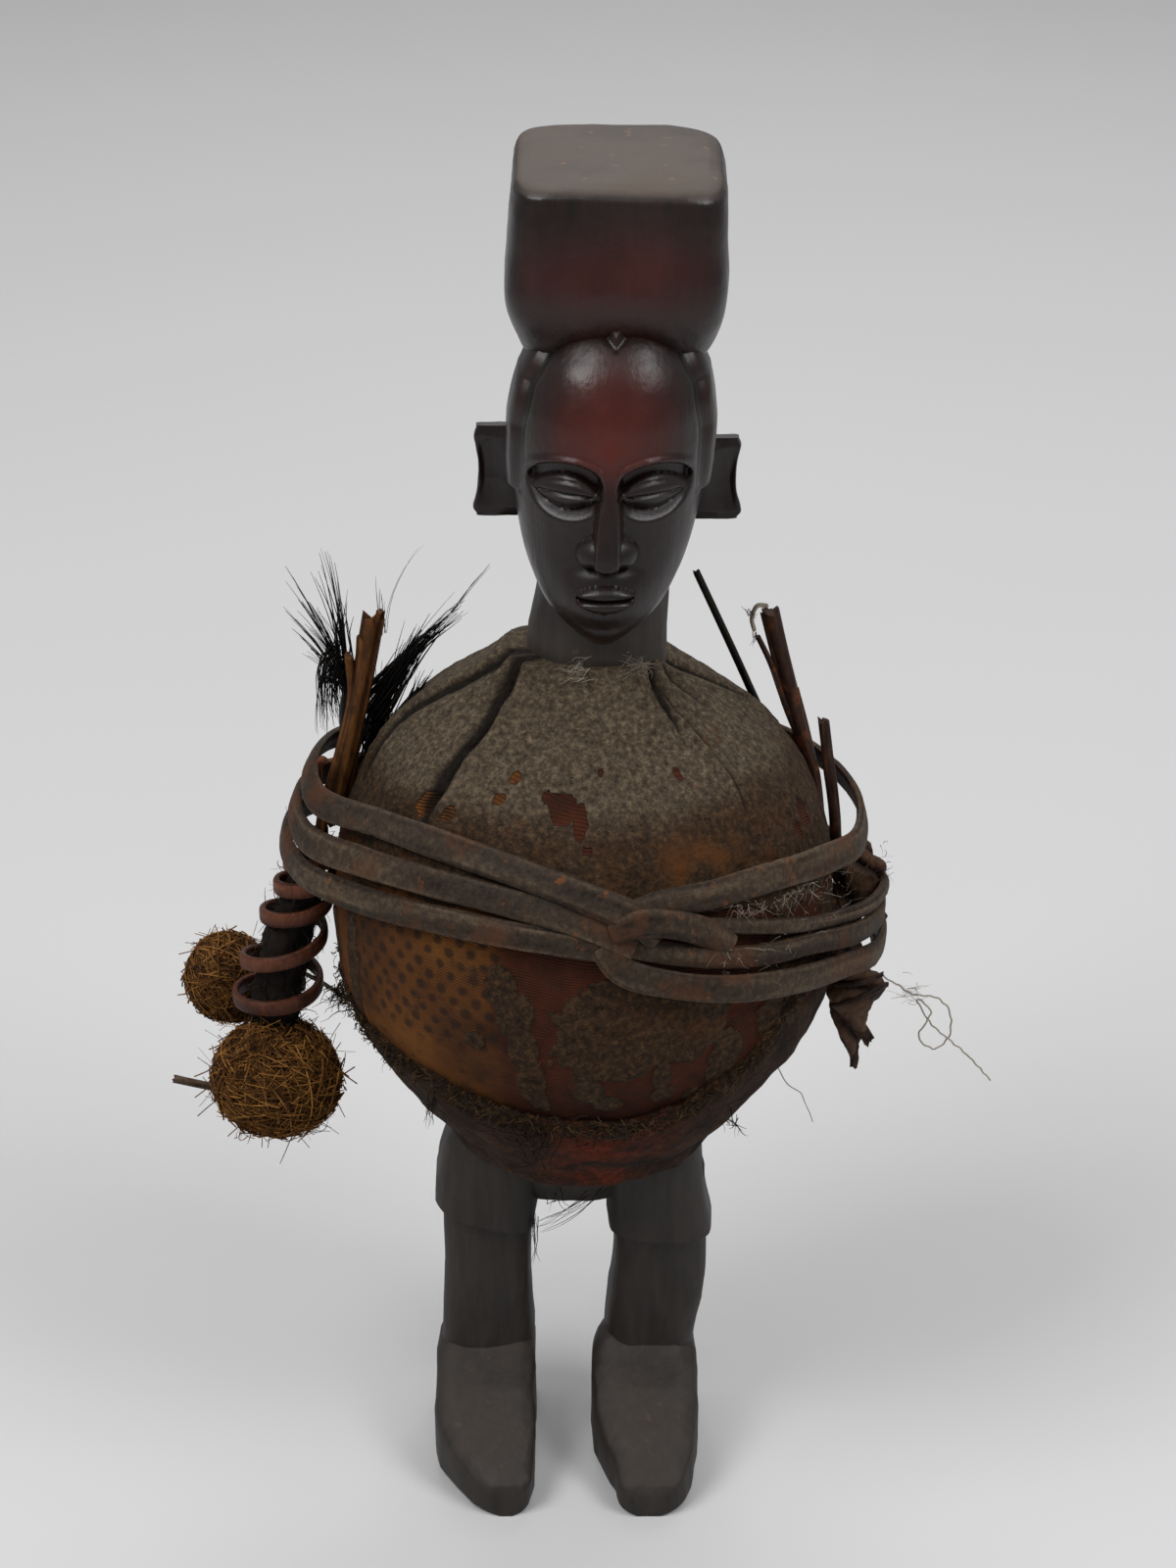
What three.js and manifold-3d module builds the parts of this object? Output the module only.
// A carved wooden figure that stands on its own feet. Its trunk carries a big ball of stuff
// tied up in cloth, held from below by a second, torn cloth. A strip of split vine goes three
// times round the ball and lashes a packet of fibre, reeds and leaf to each side of it.
// Millimetres, +Z up, the face looks along -Y, the soles are on z = 0.
import * as THREE from "three";
import { mergeVertices } from "three/addons/utils/BufferGeometryUtils.js";
import Module from "manifold-3d";

const wasm = await Module();
wasm.setup();

// Driving dimensions.
const TOP = 310; // top of the block of hair
const LEAN = 0.042; // the figure leans to its left: sideways shift for each unit of height
const LEAN_PIVOT = 140; // height at which the leaning axis crosses the middle
const GAP = 0.35; // room between pieces that touch
const BALL_X = -0.9; // middle of the ball, seen from above
const BALL_Y = -1;
const HEM_CLOTH = 1.5; // thickness of the folded lower cloth
const VINE_THICK = 2.1; // split vine, from its flat side to the top of its round side
const VINE_WIDTH = 6.3;
const VINE_CLEAR = 0.65; // room left under it, because its facets cut the corners of its curve
const HEAD_BOTTOM = 212; // under the chin
const HEAD_HEIGHT = 70; // chin to crown
const HEAD_WIDTH = 42;
const EYE_OUT = 9; // middle of the face to the middle of an eye
const BALL_ROWS = [
  // height, radius of the ball with its lower cloth
  [75, 2], [81, 24.7], [90, 33.2], [102, 43], [117, 51.9], [136, 55.4],
  [154, 54.7], [168, 50.6], [180, 43.4], [190, 31.8], [198, 21], [203, 15.6],
];

// Smooth interpolation in a table whose rows start with their key.
function readTable(rows, key) {
  const last = rows.length - 1;
  const k = Math.min(Math.max(key, rows[0][0]), rows[last][0]);
  let i = 0;
  while (i < last - 1 && rows[i + 1][0] < k) i += 1;
  const a = rows[i];
  const b = rows[i + 1];
  const width = b[0] - a[0];
  const t = (k - a[0]) / width;
  return a.map((value, c) => {
    if (c === 0) return k;
    const step = b[c] - value;
    const before = i > 0 ? (value - rows[i - 1][c]) / (a[0] - rows[i - 1][0]) : step / width;
    const after = i < last - 1 ? (rows[i + 2][c] - b[c]) / (rows[i + 2][0] - b[0]) : step / width;
    const m0 = (0.5 * (before + step / width)) * width;
    const m1 = (0.5 * (after + step / width)) * width;
    const t2 = t * t;
    const t3 = t2 * t;
    return value * (2 * t3 - 3 * t2 + 1) + m0 * (t3 - 2 * t2 + t)
      + b[c] * (3 * t2 - 2 * t3) + m1 * (t3 - t2);
  });
}

const bump = (x, middle, width) => Math.exp(-(((x - middle) / width) ** 2));
const axisX = (z) => LEAN * (z - LEAN_PIVOT);
const turnOf = (a, b) => ((((a - b + 180) % 360) + 360) % 360) - 180;

// Moves every vertex of a geometry to the place that a function gives for it.
function warp(geometry, place) {
  const p = geometry.getAttribute("position");
  const v = new THREE.Vector3();
  for (let i = 0; i < p.count; i += 1) {
    v.fromBufferAttribute(p, i);
    const q = place(v);
    p.setXYZ(i, q.x, q.y, q.z);
  }
  return geometry;
}

// A closed geometry as a solid that can be joined and cut.
function solid(geometry) {
  const bare = geometry.index ? geometry.clone() : geometry;
  bare.deleteAttribute("normal");
  bare.deleteAttribute("uv");
  const merged = mergeVertices(bare, 1e-4);
  return new wasm.Manifold(new wasm.Mesh({
    numProp: 3,
    vertProperties: new Float32Array(merged.getAttribute("position").array),
    triVerts: new Uint32Array(merged.index.array),
  }));
}

const join = (solids) => solids.reduce((a, b) => a.add(b));

// A point on a rounded rectangle: power 2 is an ellipse, a high power is nearly square.
function roundedPoint(angle, hx, hy, power) {
  const bend = (c) => (Math.abs(c) < 1e-9 ? 0 : Math.sign(c) * Math.abs(c) ** (2 / power));
  return [hx * bend(Math.cos(angle)), hy * bend(Math.sin(angle))];
}

// A carved form built up from level sections.
// Each row: height, middle x, middle y, half width, half depth, power, slope of the cut.
function carved(rows, sides, levels = 0, grow = 0) {
  const count = levels || rows.length - 1;
  return solid(warp(new THREE.CylinderGeometry(1, 1, 1, sides, count), (v) => {
    const t = v.y + 0.5;
    const low = rows[0][0];
    const high = rows[rows.length - 1][0];
    const row = levels
      ? readTable(rows, low + t * (high - low))
      : rows[Math.round(t * count)];
    const [z, cx, cy, hx, hy, power, slope = 0] = row;
    const reach = Math.hypot(v.x, v.z);
    const [x, y] = roundedPoint(Math.atan2(-v.z, v.x), hx + grow, hy + grow, power);
    return new THREE.Vector3(cx + x * reach, cy + y * reach, z + slope * x * reach);
  }));
}

// A smooth ellipsoid.
function pebble(x, y, z, rx, ry, rz, around = 16, down = 10) {
  const g = new THREE.SphereGeometry(1, around, down);
  g.rotateX(Math.PI / 2).scale(rx, ry, rz).translate(x, y, z);
  return solid(g);
}

// A section carried along a curve. outward gives the direction that the section's top faces,
// and section gives its half width, half thickness and power at a place along the curve.
function carried(curve, steps, sides, outward, section) {
  return solid(warp(new THREE.CylinderGeometry(1, 1, 1, sides, steps), (v) => {
    const t = curve.getUtoTmapping(v.y + 0.5); // even steps of length
    const middle = curve.getPoint(t);
    const along = curve.getTangent(t);
    const out = outward(middle, t).clone();
    out.addScaledVector(along, -out.dot(along)).normalize();
    const side = out.clone().cross(along);
    const [half, thick, power] = section(t);
    const reach = Math.hypot(v.x, v.z);
    const [a, b] = roundedPoint(Math.atan2(-v.z, v.x), half, thick, power);
    return middle.addScaledVector(side, a * reach).addScaledVector(out, b * reach);
  }));
}

const curveOf = (points) => new THREE.CatmullRomCurve3(
  points.map((p) => new THREE.Vector3(p[0], p[1], p[2])), false, "centripetal");

// A round stick through some points, with its radius at the first and the last one.
function stick(points, r0, r1, sides = 8, steps = 4) {
  return carried(curveOf(points), steps, sides, () => new THREE.Vector3(0.3, -1, 0.2),
    (t) => [r0 + (r1 - r0) * t, r0 + (r1 - r0) * t, 2]);
}

// A drawn outline given an even thickness. facing is "front" (x and z) or "side" (y and z).
function slab(points, thickness, facing, start) {
  const shape = new THREE.Shape(points.map(([a, b]) => new THREE.Vector2(a, b)));
  const g = new THREE.ExtrudeGeometry(shape, { depth: thickness, bevelEnabled: false });
  if (facing === "front") g.rotateX(Math.PI / 2).translate(0, start + thickness, 0);
  if (facing === "side") {
    const turn = new THREE.Matrix4();
    turn.set(0, 0, 1, start, 1, 0, 0, 0, 0, 1, 0, 0, 0, 0, 0, 1);
    g.applyMatrix4(turn);
  }
  if (facing === "above") g.translate(0, 0, start);
  return solid(g);
}

// The carved figure.

// A foot is a side profile and a plan outline cut from the same block, with a flat sole.
function foot(innerX, outerX, plan) {
  const profile = [[12, 0], [-37.6, 0], [-38, 4.6], [-36.6, 7.6], [-29, 13.4], [-19, 20],
    [-9, 25.6], [-6, 29], [6, 29], [11.4, 20], [13, 10]];
  const left = Math.min(innerX, outerX) - 2;
  const width = Math.abs(outerX - innerX) + 4;
  return slab(profile, width, "side", left).intersect(slab(plan, 34, "above", 0));
}

const SHIN_ROWS = [
  [[8, -23.7, 2, 10.2, 9.8, 3], [24, -23.6, 1.6, 10.8, 10, 3.4],
    [46, -23.4, 1, 10.2, 10.4, 3.2], [70, -23.2, 0.6, 10.6, 11, 3]],
  [[8, 14.4, 2, 10, 9.8, 3], [24, 14.3, 1.6, 10.6, 10, 3.4],
    [46, 16.7, 1, 10.9, 10.4, 3.2], [70, 16.4, 0.6, 10.6, 11, 3]],
];
const THIGH_ROWS = [
  [[61.5, -23.8, -0.4, 11.6, 12.6, 3.2, -0.27], [70, -22.9, -0.3, 12, 12.8, 3],
    [82, -20.4, 0, 11.4, 12.2, 2.8], [94, -13, 0, 8.5, 10, 2.4]],
  [[57.6, 16.7, -0.4, 12.1, 12.6, 3.2, -0.05], [69, 15.3, -0.3, 11.5, 12.8, 3],
    [80, 13.6, 0, 11.4, 12.2, 2.8], [94, 8, 0, 8.5, 10, 2.4]],
];
const PELVIS_ROWS = [[66, -3.4, 0.6, 13, 9, 2.6], [74, -3.2, 0, 20, 11, 2.6],
  [90, -2.4, 0, 17, 11, 2.3], [104, -1.6, 0, 14.6, 12, 2.1]];
// Trunk and neck are one round post, hidden by the ball up to the neck.
const TRUNK_ROWS = [[96, -1.8, 0, 15, 12.4, 2.1], [150, 0.3, 0, 15, 13, 2],
  [192, 1.6, 0, 15.2, 14, 2.1], [204, 1.9, 0, 15.2, 14, 2.1],
  [218, 3.2, -1, 14.2, 13, 2], [232, 3.8, -1.5, 12.6, 10.5, 2]];

// Thighs, pelvis, trunk and neck; grow is the room that a piece round them keeps.
function body(grow = 0) {
  return join([...THIGH_ROWS.map((rows) => carved(rows, 12, 0, grow)),
    carved(PELVIS_ROWS, 12, 0, grow), carved(TRUNK_ROWS, 14, 0, grow)]);
}

function lowerLegs() {
  const rightFoot = foot(-12, -36, [[-12.4, 13], [-33.5, 13], [-34.5, 4], [-36, -14],
    [-34.6, -23], [-28.4, -33], [-22, -38.5], [-15.2, -38.5], [-12.1, -30]]);
  const leftFoot = foot(0, 26, [[24.8, 13], [3.4, 13], [2.4, 2], [0.8, -14], [3, -24],
    [9.2, -38.5], [18.8, -38.5], [23.6, -31], [25.8, -16]]);
  return join([rightFoot, leftFoot, ...SHIN_ROWS.map((rows) => carved(rows, 12))]);
}

// Plain egg-shaped head: widths as shares of the head's width, front and back in depth.
const HEAD_ROWS = [
  // share of the height, half width, front, back
  [0, 0.17, -22.5, -8], [0.03, 0.3, -25.6, -2], [0.09, 0.54, -27.2, 3], [0.2, 0.76, -27, 10],
  [0.34, 0.9, -26.4, 15], [0.5, 0.98, -26.8, 19], [0.64, 1, -27.8, 20.5],
  [0.78, 0.93, -26.8, 19], [0.89, 0.75, -22.8, 15], [0.96, 0.48, -16.6, 9], [1, 0.12, -8, 1],
].map(([share, half, front, back]) => {
  const z = HEAD_BOTTOM + share * HEAD_HEIGHT;
  return [z, axisX(z), (front + back) / 2, (half * HEAD_WIDTH) / 2, (back - front) / 2, 2.15];
});

function headForm(grow) {
  const rows = HEAD_ROWS.map(([z, x, y, hx, hy, power], i) => {
    const up = i === HEAD_ROWS.length - 1 ? grow : 0;
    return [z + up, x, y, hx + grow, hy + grow, power];
  });
  return carved(rows, 22, 11);
}

// The hair is a close cap with a raised edge that dips to a point over the forehead.
function hairCap() {
  const top = HEAD_BOTTOM + HEAD_HEIGHT;
  const middle = axisX(top);
  const outline = [[-19.4, -40], [-19.4, -24], [-17.6, -14], [-13.6, -6.4], [-8, -2.2],
    [-3.6, -1.3], [0, -4.4], [3.6, -1.3], [8, -2.2], [13.6, -6.4], [17.6, -14],
    [19.4, -24], [19.4, -40]].map(([x, z]) => [middle + x, top + z]);
  const faceRoom = slab(outline, 58, "front", -60);
  const lower = slab([[-60, 180], [60, 180], [60, 243], [-60, 243]], 120, "front", -60);
  return headForm(0.9).subtract(faceRoom).subtract(lower);
}

function nose(x) {
  return carved([[231.6, x, -29.4, 3.6, 3.4, 2], [233.4, x, -30, 5.2, 4.6, 2],
    [236.4, x, -29.6, 3.6, 4.2, 2], [243, x, -28, 2.2, 3.6, 2], [251, x, -26.8, 1.9, 2.6, 2],
    [256, x, -25.6, 1.4, 1.6, 2]], 12);
}

function head() {
  const eyeZ = HEAD_BOTTOM + HEAD_HEIGHT / 2;
  const x = axisX(eyeZ);
  let form = headForm(0);
  [-1, 1].forEach((side) => {
    form = form.subtract(pebble(x + side * EYE_OUT, -28.6, eyeZ, 7.6, 4.6, 5.6, 12, 8));
  });
  [-1, 1].forEach((side) => {
    form = form.add(pebble(x + side * EYE_OUT, -22, eyeZ - 0.3, 6.4, 3.8, 3.2, 12, 6));
    form = form.subtract(pebble(x + side * EYE_OUT, -26, eyeZ - 0.4, 5.4, 1.2, 0.5, 8, 4));
  });
  const mouthZ = HEAD_BOTTOM + 13;
  form = form.add(nose(x)).add(hairCap());
  form = form.add(pebble(x - 0.6, -26, mouthZ + 1.4, 6.4, 3.4, 2, 10, 6));
  form = form.add(pebble(x - 0.6, -25.6, mouthZ - 1.6, 5.6, 3.4, 1.9, 10, 6));
  return form.subtract(pebble(x - 0.6, -29.6, mouthZ, 5.4, 2, 0.4, 8, 4));
}

// An ear is an upright flap, square at its corners and hollow along its outer edge.
function ear(side, foot0, top0) {
  const root = axisX(240) + side * 18;
  const tip = side < 0 ? -25.4 : 33.6;
  const outline = [[root, foot0 + 1], [tip - side * 1.4, foot0], [tip, foot0 + 1.4],
    [tip - side * 1.9, (foot0 + top0) / 2], [tip - side * 0.4, top0 - 1.6],
    [tip - side * 1.4, top0], [root, top0 - 0.6]];
  const flap = slab(side < 0 ? outline.reverse() : outline, 4.4, "front", 0.6);
  return flap.subtract(pebble(tip - side * 4.2, -0.6, (foot0 + top0) / 2, 3.2, 2.6, 7));
}

// The hair rises into a heavy block with a sharp front edge and a bevel under it.
function hairBlock() {
  return carved([[262, 6, 6, 13, 9, 3], [268, 6, 6.4, 18, 17, 3.6],
    [276.5, 6, 5.8, 21.6, 22.4, 4.6], [284.5, 5.8, 5.2, 23, 25, 6],
    [296, 6.1, 5.6, 22.7, 24.6, 6], [306, 6.5, 6, 21.9, 24, 6, -0.035],
    [308.6, 6.5, 6.4, 20.4, 22.6, 5, -0.025], [TOP, 6.5, 6.8, 16, 18, 4]], 24);
}

const figure = join([lowerLegs(), body(), head(), ear(-1, 231.6, 252), ear(1, 230.8, 249.2),
  hairBlock()]);

// The ball.

// Radius of the ball at a height and a turn (degrees, -90 is the front), with the folds in
// which its cloth runs up to the neck.
function ballRadius(z, turn) {
  let r = readTable(BALL_ROWS, z)[1];
  r += 1.8 * bump(turnOf(turn, 178), 0, 42) * bump(z, 192, 12);
  r -= 1.4 * bump(turnOf(turn, -12), 0, 34) * bump(z, 193, 9);
  return r;
}

function foldDepth(z, turn) {
  const folds = [[-146, 2.6, 5], [-170, 1.6, 6], [-38, 1.6, 5], [15, 1.2, 8], [62, 1.8, 7],
    [104, 1.5, 7], [141, 1.7, 7]];
  const rise = THREE.MathUtils.smoothstep(z, 168, 196);
  return folds.reduce((d, [at, depth, wide]) => d + depth * bump(turnOf(turn, at), 0, wide), 0)
    * rise;
}

function ballPoint(z, turn, extra, folded = true) {
  const r = ballRadius(z, turn) + extra - (folded ? foldDepth(z, turn) : 0);
  const a = THREE.MathUtils.degToRad(turn);
  return new THREE.Vector3(BALL_X + r * Math.cos(a), BALL_Y + r * Math.sin(a), z);
}

// The height of the lower cloth's torn edge, all the way round.
const HEM_ROWS = [[-180, 127], [-155, 124], [-128, 118.6], [-108, 113.4], [-92, 111.6],
  [-76, 112], [-64, 115], [-52, 121], [-42, 129], [-32, 135], [0, 140], [60, 138],
  [120, 131], [180, 127]];

// A closed form between two heights of the ball; top may be a function of the turn.
function ballForm(bottom, top, extra, sides, levels) {
  return solid(warp(new THREE.CylinderGeometry(1, 1, 1, sides, levels), (v) => {
    const t = 0.5 - 0.5 * Math.cos((v.y + 0.5) * Math.PI);
    const turn = THREE.MathUtils.radToDeg(Math.atan2(-v.z, v.x));
    const reach = Math.hypot(v.x, v.z);
    const high = typeof top === "function" ? top(turn) : top;
    const z = bottom + t * (high - bottom);
    const q = ballPoint(z, turn, extra(z));
    return new THREE.Vector3(BALL_X + (q.x - BALL_X) * reach, BALL_Y + (q.y - BALL_Y) * reach, z);
  }));
}

// A copy of a solid with every face moved out by about the gap, for cutting its neighbours.
const GROW = [[1, 0, 0], [-1, 0, 0], [0, 1, 0], [0, -1, 0], [0, 0, 1], [0, 0, -1]];
function cutBy(piece, neighbour) {
  let left = piece.subtract(neighbour);
  GROW.forEach((d) => {
    left = left.subtract(neighbour.translate(d.map((c) => c * GAP)));
  });
  const bodies = left.decompose().sort((a, b) => b.volume() - a.volume());
  return bodies[0];
}

const underHem = (z) => -(HEM_CLOTH + GAP)
  * (1 - THREE.MathUtils.smoothstep(z, 112, 128));
const BALL_SIDES = 36;
const BALL_LEVELS = 13;
const bundle = ballForm(77, 203, underHem, BALL_SIDES, BALL_LEVELS).subtract(body(GAP));
const hemHeight = (turn) => readTable(HEM_ROWS, turn)[1];
const lowerCloth = ballForm(75, hemHeight, () => 0, BALL_SIDES, 5)
  .subtract(ballForm(77, 203, (z) => underHem(z) + GAP, BALL_SIDES, BALL_LEVELS)).subtract(body(GAP));

// The vine.

// A length of vine lying on the ball. Each row: turn, height, lift off the cloth, width.
function vine(rows, steps) {
  const points = rows.map(([turn, z, lift]) => {
    const reach = GAP + VINE_CLEAR + VINE_THICK / 2 + lift;
    const slope = (readTable(BALL_ROWS, z + 1)[1] - readTable(BALL_ROWS, z - 1)[1]) / 2;
    const long = Math.hypot(1, slope);
    const q = ballPoint(z, turn, reach / long, false);
    q.z -= (slope * reach) / long;
    return q;
  });
  const curve = new THREE.CatmullRomCurve3(points, false, "centripetal");
  const outward = (p) => {
    const slope = (readTable(BALL_ROWS, p.z + 1)[1] - readTable(BALL_ROWS, p.z - 1)[1]) / 2;
    const r = Math.hypot(p.x - BALL_X, p.y - BALL_Y);
    return new THREE.Vector3((p.x - BALL_X) / r, (p.y - BALL_Y) / r, -slope);
  };
  const section = (t) => {
    const i = t * (rows.length - 1);
    const a = rows[Math.floor(i)][3] ?? VINE_WIDTH;
    const b = rows[Math.min(Math.ceil(i), rows.length - 1)][3] ?? VINE_WIDTH;
    return [(a + (b - a) * (i % 1)) / 2, VINE_THICK / 2, 2.6];
  };
  return carried(curve, steps, 6, outward, section);
}

const VINE_TURNS = [
  // the first turn: from the knot to the right, round the back, back over the left packet
  [[-82, 162.5, 2.2], [-76, 165, 2.4], [-61, 165.1, 0.4], [-44, 164.3, 0], [-22, 160.4, 1.2],
    [-6, 157, 4.4], [10, 157.5, 6.4], [25, 159, 6.2], [42, 160.5, 4.6], [62, 162, 0.6],
    [90, 164, 0], [120, 166, 0], [148, 168, 1.5], [165, 168.6, 7], [180, 168.6, 8.6],
    [195, 168.4, 7.4], [213, 172, 1.4], [229, 173.2, 0], [252, 171.8, 0.6], [271, 167.4, 2],
    [282, 162.8, 2.6], [286, 159.4, 2]],
  // the second: from under the knot, low to the right, round the back, middle on the left
  [[-86, 158.4, 0.4], [-82, 153, 0.6], [-72, 149.2, 1.4], [-58, 145.4, 2], [-40, 141.2, 2.4],
    [-22, 137, 4.6], [-9, 133.4, 8], [4, 132.4, 9.6], [17, 135, 6.6], [34, 142, 1],
    [55, 150, 4.2], [90, 155, 0], [130, 158, 0], [152, 160, 2], [166, 161, 7.4],
    [180, 161.4, 9], [196, 161.4, 7.2], [212, 163.6, 1.4], [232, 166, 0], [253, 165.6, 0],
    [271, 162.2, 0.8], [281, 157.8, 0.8]],
  // the third: inside the second on the right, lowest on the left
  [[-80, 157.4, 0.2], [-67, 154, 0.2, 5], [-52, 150.2, 0.2, 5], [-33, 146.1, 0.8, 5],
    [-16, 141.4, 5, 5], [-2, 139.4, 8.4, 5], [12, 140, 8, 5], [28, 144, 2], [50, 148, 0],
    [90, 150, 0], [130, 151.6, 0], [152, 153, 2.2], [166, 154.2, 8], [180, 154.8, 9.6],
    [196, 154.6, 7], [210, 155.6, 1.2], [234, 159, 0], [254, 159.4, 0], [271, 158, 0],
    [280, 156.4, 0]],
  // a thinner length that comes out under the fold and goes round the right packet
  [[-62, 159.4, 0, 3.4], [-40, 152.8, 0, 3.4], [-22, 147, 1.2, 3.4], [-10, 144.4, 6, 3.4],
    [2, 143, 9.4, 3.4], [14, 139, 9, 3.4], [16, 133, 9.4, 3.2], [4, 127.6, 9.6, 3],
    [-12, 131.6, 5, 3], [-26, 136, 1.6, 3], [-44, 140, 0.4, 3]],
  // the folded end that slants over the knot
  [[-84, 160.8, 1.6, 4.6], [-78, 162.8, 4.2], [-71, 161.6, 3.6], [-63, 158.2, 1.2],
    [-57, 154, 0.2, 5]],
];
const VINE_STEPS = [31, 31, 29, 14, 6];

// The packet on the viewer's left.
const reedLeft = join([
  stick([[-48, 6, 205.2], [-49.4, 5, 192], [-52.4, 3, 180], [-55, 1, 168], [-58, 0, 158.5]],
    2.3, 2.1, 8, 8),
  stick([[-51.6, 5.4, 197.6], [-51.6, 4.6, 186], [-54.6, 2.4, 172], [-57, 0.8, 161]],
    1.6, 1.6, 6, 5),
]);
const hook = stick([[-57.8, -3, 176], [-58.8, -3, 174.4], [-59.2, -2.6, 170],
  [-59.6, -2.4, 165]], 0.9, 0.9, 6, 5);

// A tuft of stiff black fibre behind the reeds, as bunches that spread from one knot.
function tuft() {
  const knot = [-53, 9.6, 187];
  const ends = [[-64.4, 6, 211.6, 1.3], [-58, 9, 219.4, 1.2], [-65.8, 8, 203, 1],
    [-59, 7.4, 178.8, 1.1], [-27.6, 11, 210.2, 1.6], [-37, 10.6, 193, 1.5],
    [-43.8, 12.4, 218.6, 0.7]];
  const strands = ends.map(([x, y, z, r], i) => {
    const lean = [x - knot[0], y - knot[1], z - knot[2]].map((c) => c / Math.hypot(x - knot[0],
      y - knot[1], z - knot[2]));
    const start = knot.map((c, k) => c + 0.9 * lean[k] + 0.07 * (i - 3));
    const over = z < 180 ? 9 : 2.5; // hairs that hang first rise over the knot
    const bend = [(start[0] + x) / 2, (start[1] + y) / 2, Math.max(start[2], (start[2] + z) / 2)
      + over];
    return stick([start, bend, [x, y, z]], r, 0.45, 4, 3);
  });
  const stem = stick([[-53.4, 9.7, 176], [-53.1, 9.7, 182], [-53, 9.6, 187]], 2.1, 2.3, 6, 2);
  return join([stem, pebble(...knot, 3, 2.8, 3.2, 8, 6), ...strands]);
}

// Dark core of leaf and hair, leaning out from the ball, and the cane that coils round it.
const CORE_ROWS = [
  // height, x, y, radius of the core, radius of the cane's coil
  [108, -70.4, -5.6, 4.2, 8.6], [114, -70.2, -5, 5, 8.8], [121, -69.6, -3.4, 5.4, 9.4],
  [134, -66.4, -1, 5.2, 7.6], [142, -63.8, -0.4, 4.4, 6.4], [152, -61.2, 0, 3.2, 4.9],
  [157.5, -59.8, 0, 2.2, 4.2],
];
const corePath = curveOf([...CORE_ROWS].reverse().map(([z, x, y]) => [x, y, z]));
const core = carried(corePath, 9, 10, () => new THREE.Vector3(0, -1, 0), (t) => {
  const r = readTable(CORE_ROWS, corePath.getPoint(t).z)[3];
  return [r, r, 2.2];
});

function caneCoil() {
  const heights = [[0, 152.5], [1, 147.5], [2, 141.4], [3, 133.6], [4.1, 121.2], [5, 116.6]];
  const points = [];
  const turns = 5;
  const perTurn = 10;
  for (let i = 0; i <= turns * perTurn; i += 1) {
    const n = i / perTurn;
    const z = readTable(heights, n)[1];
    const [, x, y, , r] = readTable(CORE_ROWS, z);
    const a = -2 * Math.PI * n + 0.9;
    points.push([x + r * Math.cos(a), y + r * Math.sin(a), z]);
  }
  return carried(curveOf(points), turns * 11, 5, (p) => {
    const [, x, y] = readTable(CORE_ROWS, p.z);
    return new THREE.Vector3(p.x - x, p.y - y, 0);
  }, () => [1.7, 0.75, 2.4]);
}

// Balls of soft fibre at the packet's foot, with uneven surfaces.
function fibreBall(x, y, z, rx, ry, rz) {
  const g = new THREE.SphereGeometry(1, 14, 9);
  g.rotateX(Math.PI / 2);
  return solid(warp(g, (v) => {
    const wave = 1 + 0.035 * Math.sin(5 * v.x + 3 * v.z) + 0.03 * Math.sin(6 * v.y - 4 * v.z);
    return new THREE.Vector3(x + rx * wave * v.x, y + ry * wave * v.y, z + rz * wave * v.z);
  }));
}
const lowerBall = fibreBall(-70.2, -10, 99.8, 14.2, 13, 13.2);
const upperBall = fibreBall(-82.4, 11.6, 113.6, 9.6, 9.4, 10.4);
const twig = stick([[-93.2, -10, 99.2], [-87, -10, 97.8], [-78, -10, 96]], 0.8, 0.8, 6, 2);
const paleTwig = stick([[-64, -1, 121.6], [-60.4, -0.6, 119.2], [-55.6, -0.4, 115.4]],
  0.5, 0.5, 5, 2);

// The packet on the viewer's right: reeds behind the ball and a twisted bundle of leaf.
const reedRight = join([
  stick([[40.4, 15.4, 203], [43.8, 16, 189], [47.4, 17, 173.6], [50.8, 18.2, 162],
    [52.4, 18.6, 148]], 1.8, 1.6, 8, 5),
  stick([[37.4, 13.4, 198], [40.2, 14, 191.6], [43.6, 15.4, 181.4], [47.2, 16.6, 172]],
    0.7, 0.9, 5, 4),
  stick([[46.2, 16.6, 184], [48.4, 17.2, 175], [50.6, 17.8, 165]], 0.8, 1, 5, 3),
]);
const reedHook = stick([[39.4, 15.2, 204.6], [37.2, 14.4, 205], [36, 13.6, 202.6],
  [36.6, 13, 199.6]], 0.6, 0.5, 5, 4);
const blackStick = stick([[23.9, 23, 209.6], [29.4, 23.6, 197], [35.8, 25, 181.8],
  [40.4, 29.4, 169], [43, 32.4, 158], [43.4, 33, 150]], 0.8, 1, 6, 8);
const shortStick = stick([[52.2, 10, 179], [53.6, 9.4, 168], [55, 8.6, 158], [55.6, 8.4, 149]],
  1.35, 1.35, 8, 4);

const LEAF_ROWS = [
  // height, x, y, half width, half depth
  [98.6, 60.4, 2.4, 0.8, 0.7], [104, 60, 2.4, 2.4, 1.7], [110, 60, 2.4, 4.4, 3.2],
  [116.5, 60.8, 2.4, 5.8, 4.6], [123, 58.8, 3, 4, 4], [130, 57.9, 3.2, 2.8, 3.6],
  [137, 58.6, 3.6, 3.4, 4], [144, 60.8, 4, 5, 4.8], [150, 60.4, 3.4, 3.8, 3.6],
  [153.4, 59.6, 3, 1.6, 1.6],
];
function leafPacket() {
  const body = carved(LEAF_ROWS.map(([z, x, y, hx, hy]) => [z, x, y, hx, hy, 2.3]), 10, 11);
  const tail = stick([[60, 2.4, 107], [63, 1.6, 104.6], [64.2, 1.2, 103.2]], 1.6, 0.9, 6, 3);
  const point = stick([[61, 3.4, 139], [65, 6.4, 134.4], [67, 8, 131.4]], 2, 0.4, 6, 3);
  return join([body, tail, point]);
}
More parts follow.
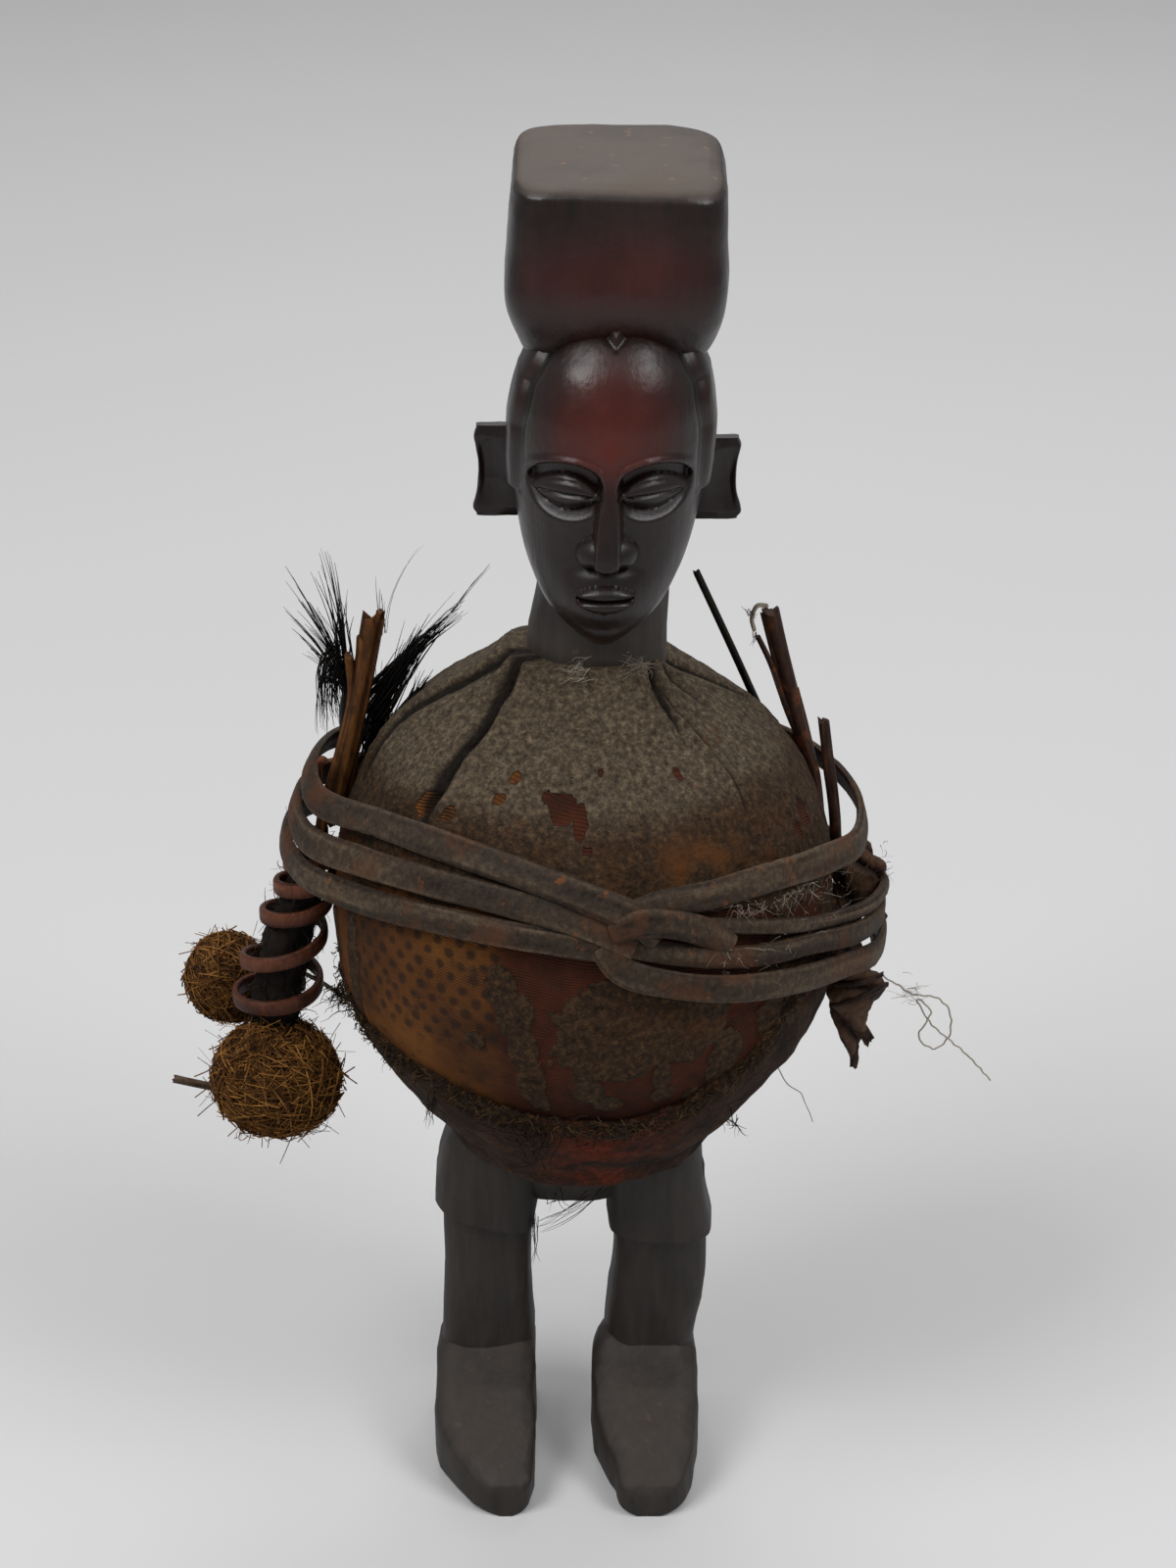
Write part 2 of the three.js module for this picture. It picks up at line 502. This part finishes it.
const wisp = stick([[66.8, 1.4, 116.8], [71, 1.2, 113.6], [78, 0.8, 107], [85, 0.4, 99.6],
  [91.4, 0, 93.6]], 0.4, 0.3, 4, 8);

// Every piece in order, with its colour and roughness. A piece is cut clear of each earlier
// one that it touches.
const pieces = [
  ["carved_figure", figure, 0x2f1d18, 0.45],
  ["cloth_ball", bundle, 0x5a3a20, 0.9],
  ["lower_cloth", lowerCloth, 0x4a2c18, 0.92],
  ["left_reeds", reedLeft, 0x6b4222, 0.75],
  ["left_hooked_reed", hook, 0x4a3222, 0.75],
  ["fibre_ball_lower", lowerBall, 0x6b4a28, 0.95],
  ["left_packet_core", core, 0x2a1d16, 0.9],
  ["right_short_stick", shortStick, 0x3a2418, 0.7],
  ["leaf_packet", leafPacket(), 0x33241c, 0.75],
  ["right_reeds", reedRight, 0x4a2e1c, 0.7],
  ["right_black_stick", blackStick, 0x221c16, 0.7],
  ["right_hooked_fibre", reedHook, 0x5a4a34, 0.8],
  ["vine_lashing", join(VINE_TURNS.map((rows, i) => vine(rows, VINE_STEPS[i]))), 0x4a403a, 0.7],
  ["cane_coil", caneCoil(), 0x5a3428, 0.55],
  ["fibre_ball_upper", upperBall, 0x6b4a28, 0.95],
  ["left_fibre_tuft", tuft(), 0x14110f, 0.7],
  ["left_twig", twig, 0x4a3a2c, 0.8],
  ["pale_twig", paleTwig, 0x8a7a68, 0.8],
  ["loose_fibre", wisp, 0x9a9284, 0.9],
];

const touches = (a, b) => GROW.some((d) => !a.intersect(b.translate(d.map((c) => c * GAP)))
  .isEmpty());
const group = new THREE.Group();
const placed = [];
pieces.forEach(([name, form, colour, roughness]) => {
  const made = placed.reduce((left, other) => (touches(left, other) ? cutBy(left, other) : left),
    form);
  placed.push(made);
  const found = made.getMesh();
  const g = new THREE.BufferGeometry();
  g.setAttribute("position", new THREE.BufferAttribute(
    Float32Array.from(found.vertProperties), found.numProp));
  g.setIndex(new THREE.BufferAttribute(Uint32Array.from(found.triVerts), 1));
  g.computeVertexNormals();
  const material = new THREE.MeshStandardMaterial({ color: colour, roughness, metalness: 0 });
  const mesh = new THREE.Mesh(g, material);
  mesh.name = name;
  group.add(mesh);
});

export default group;
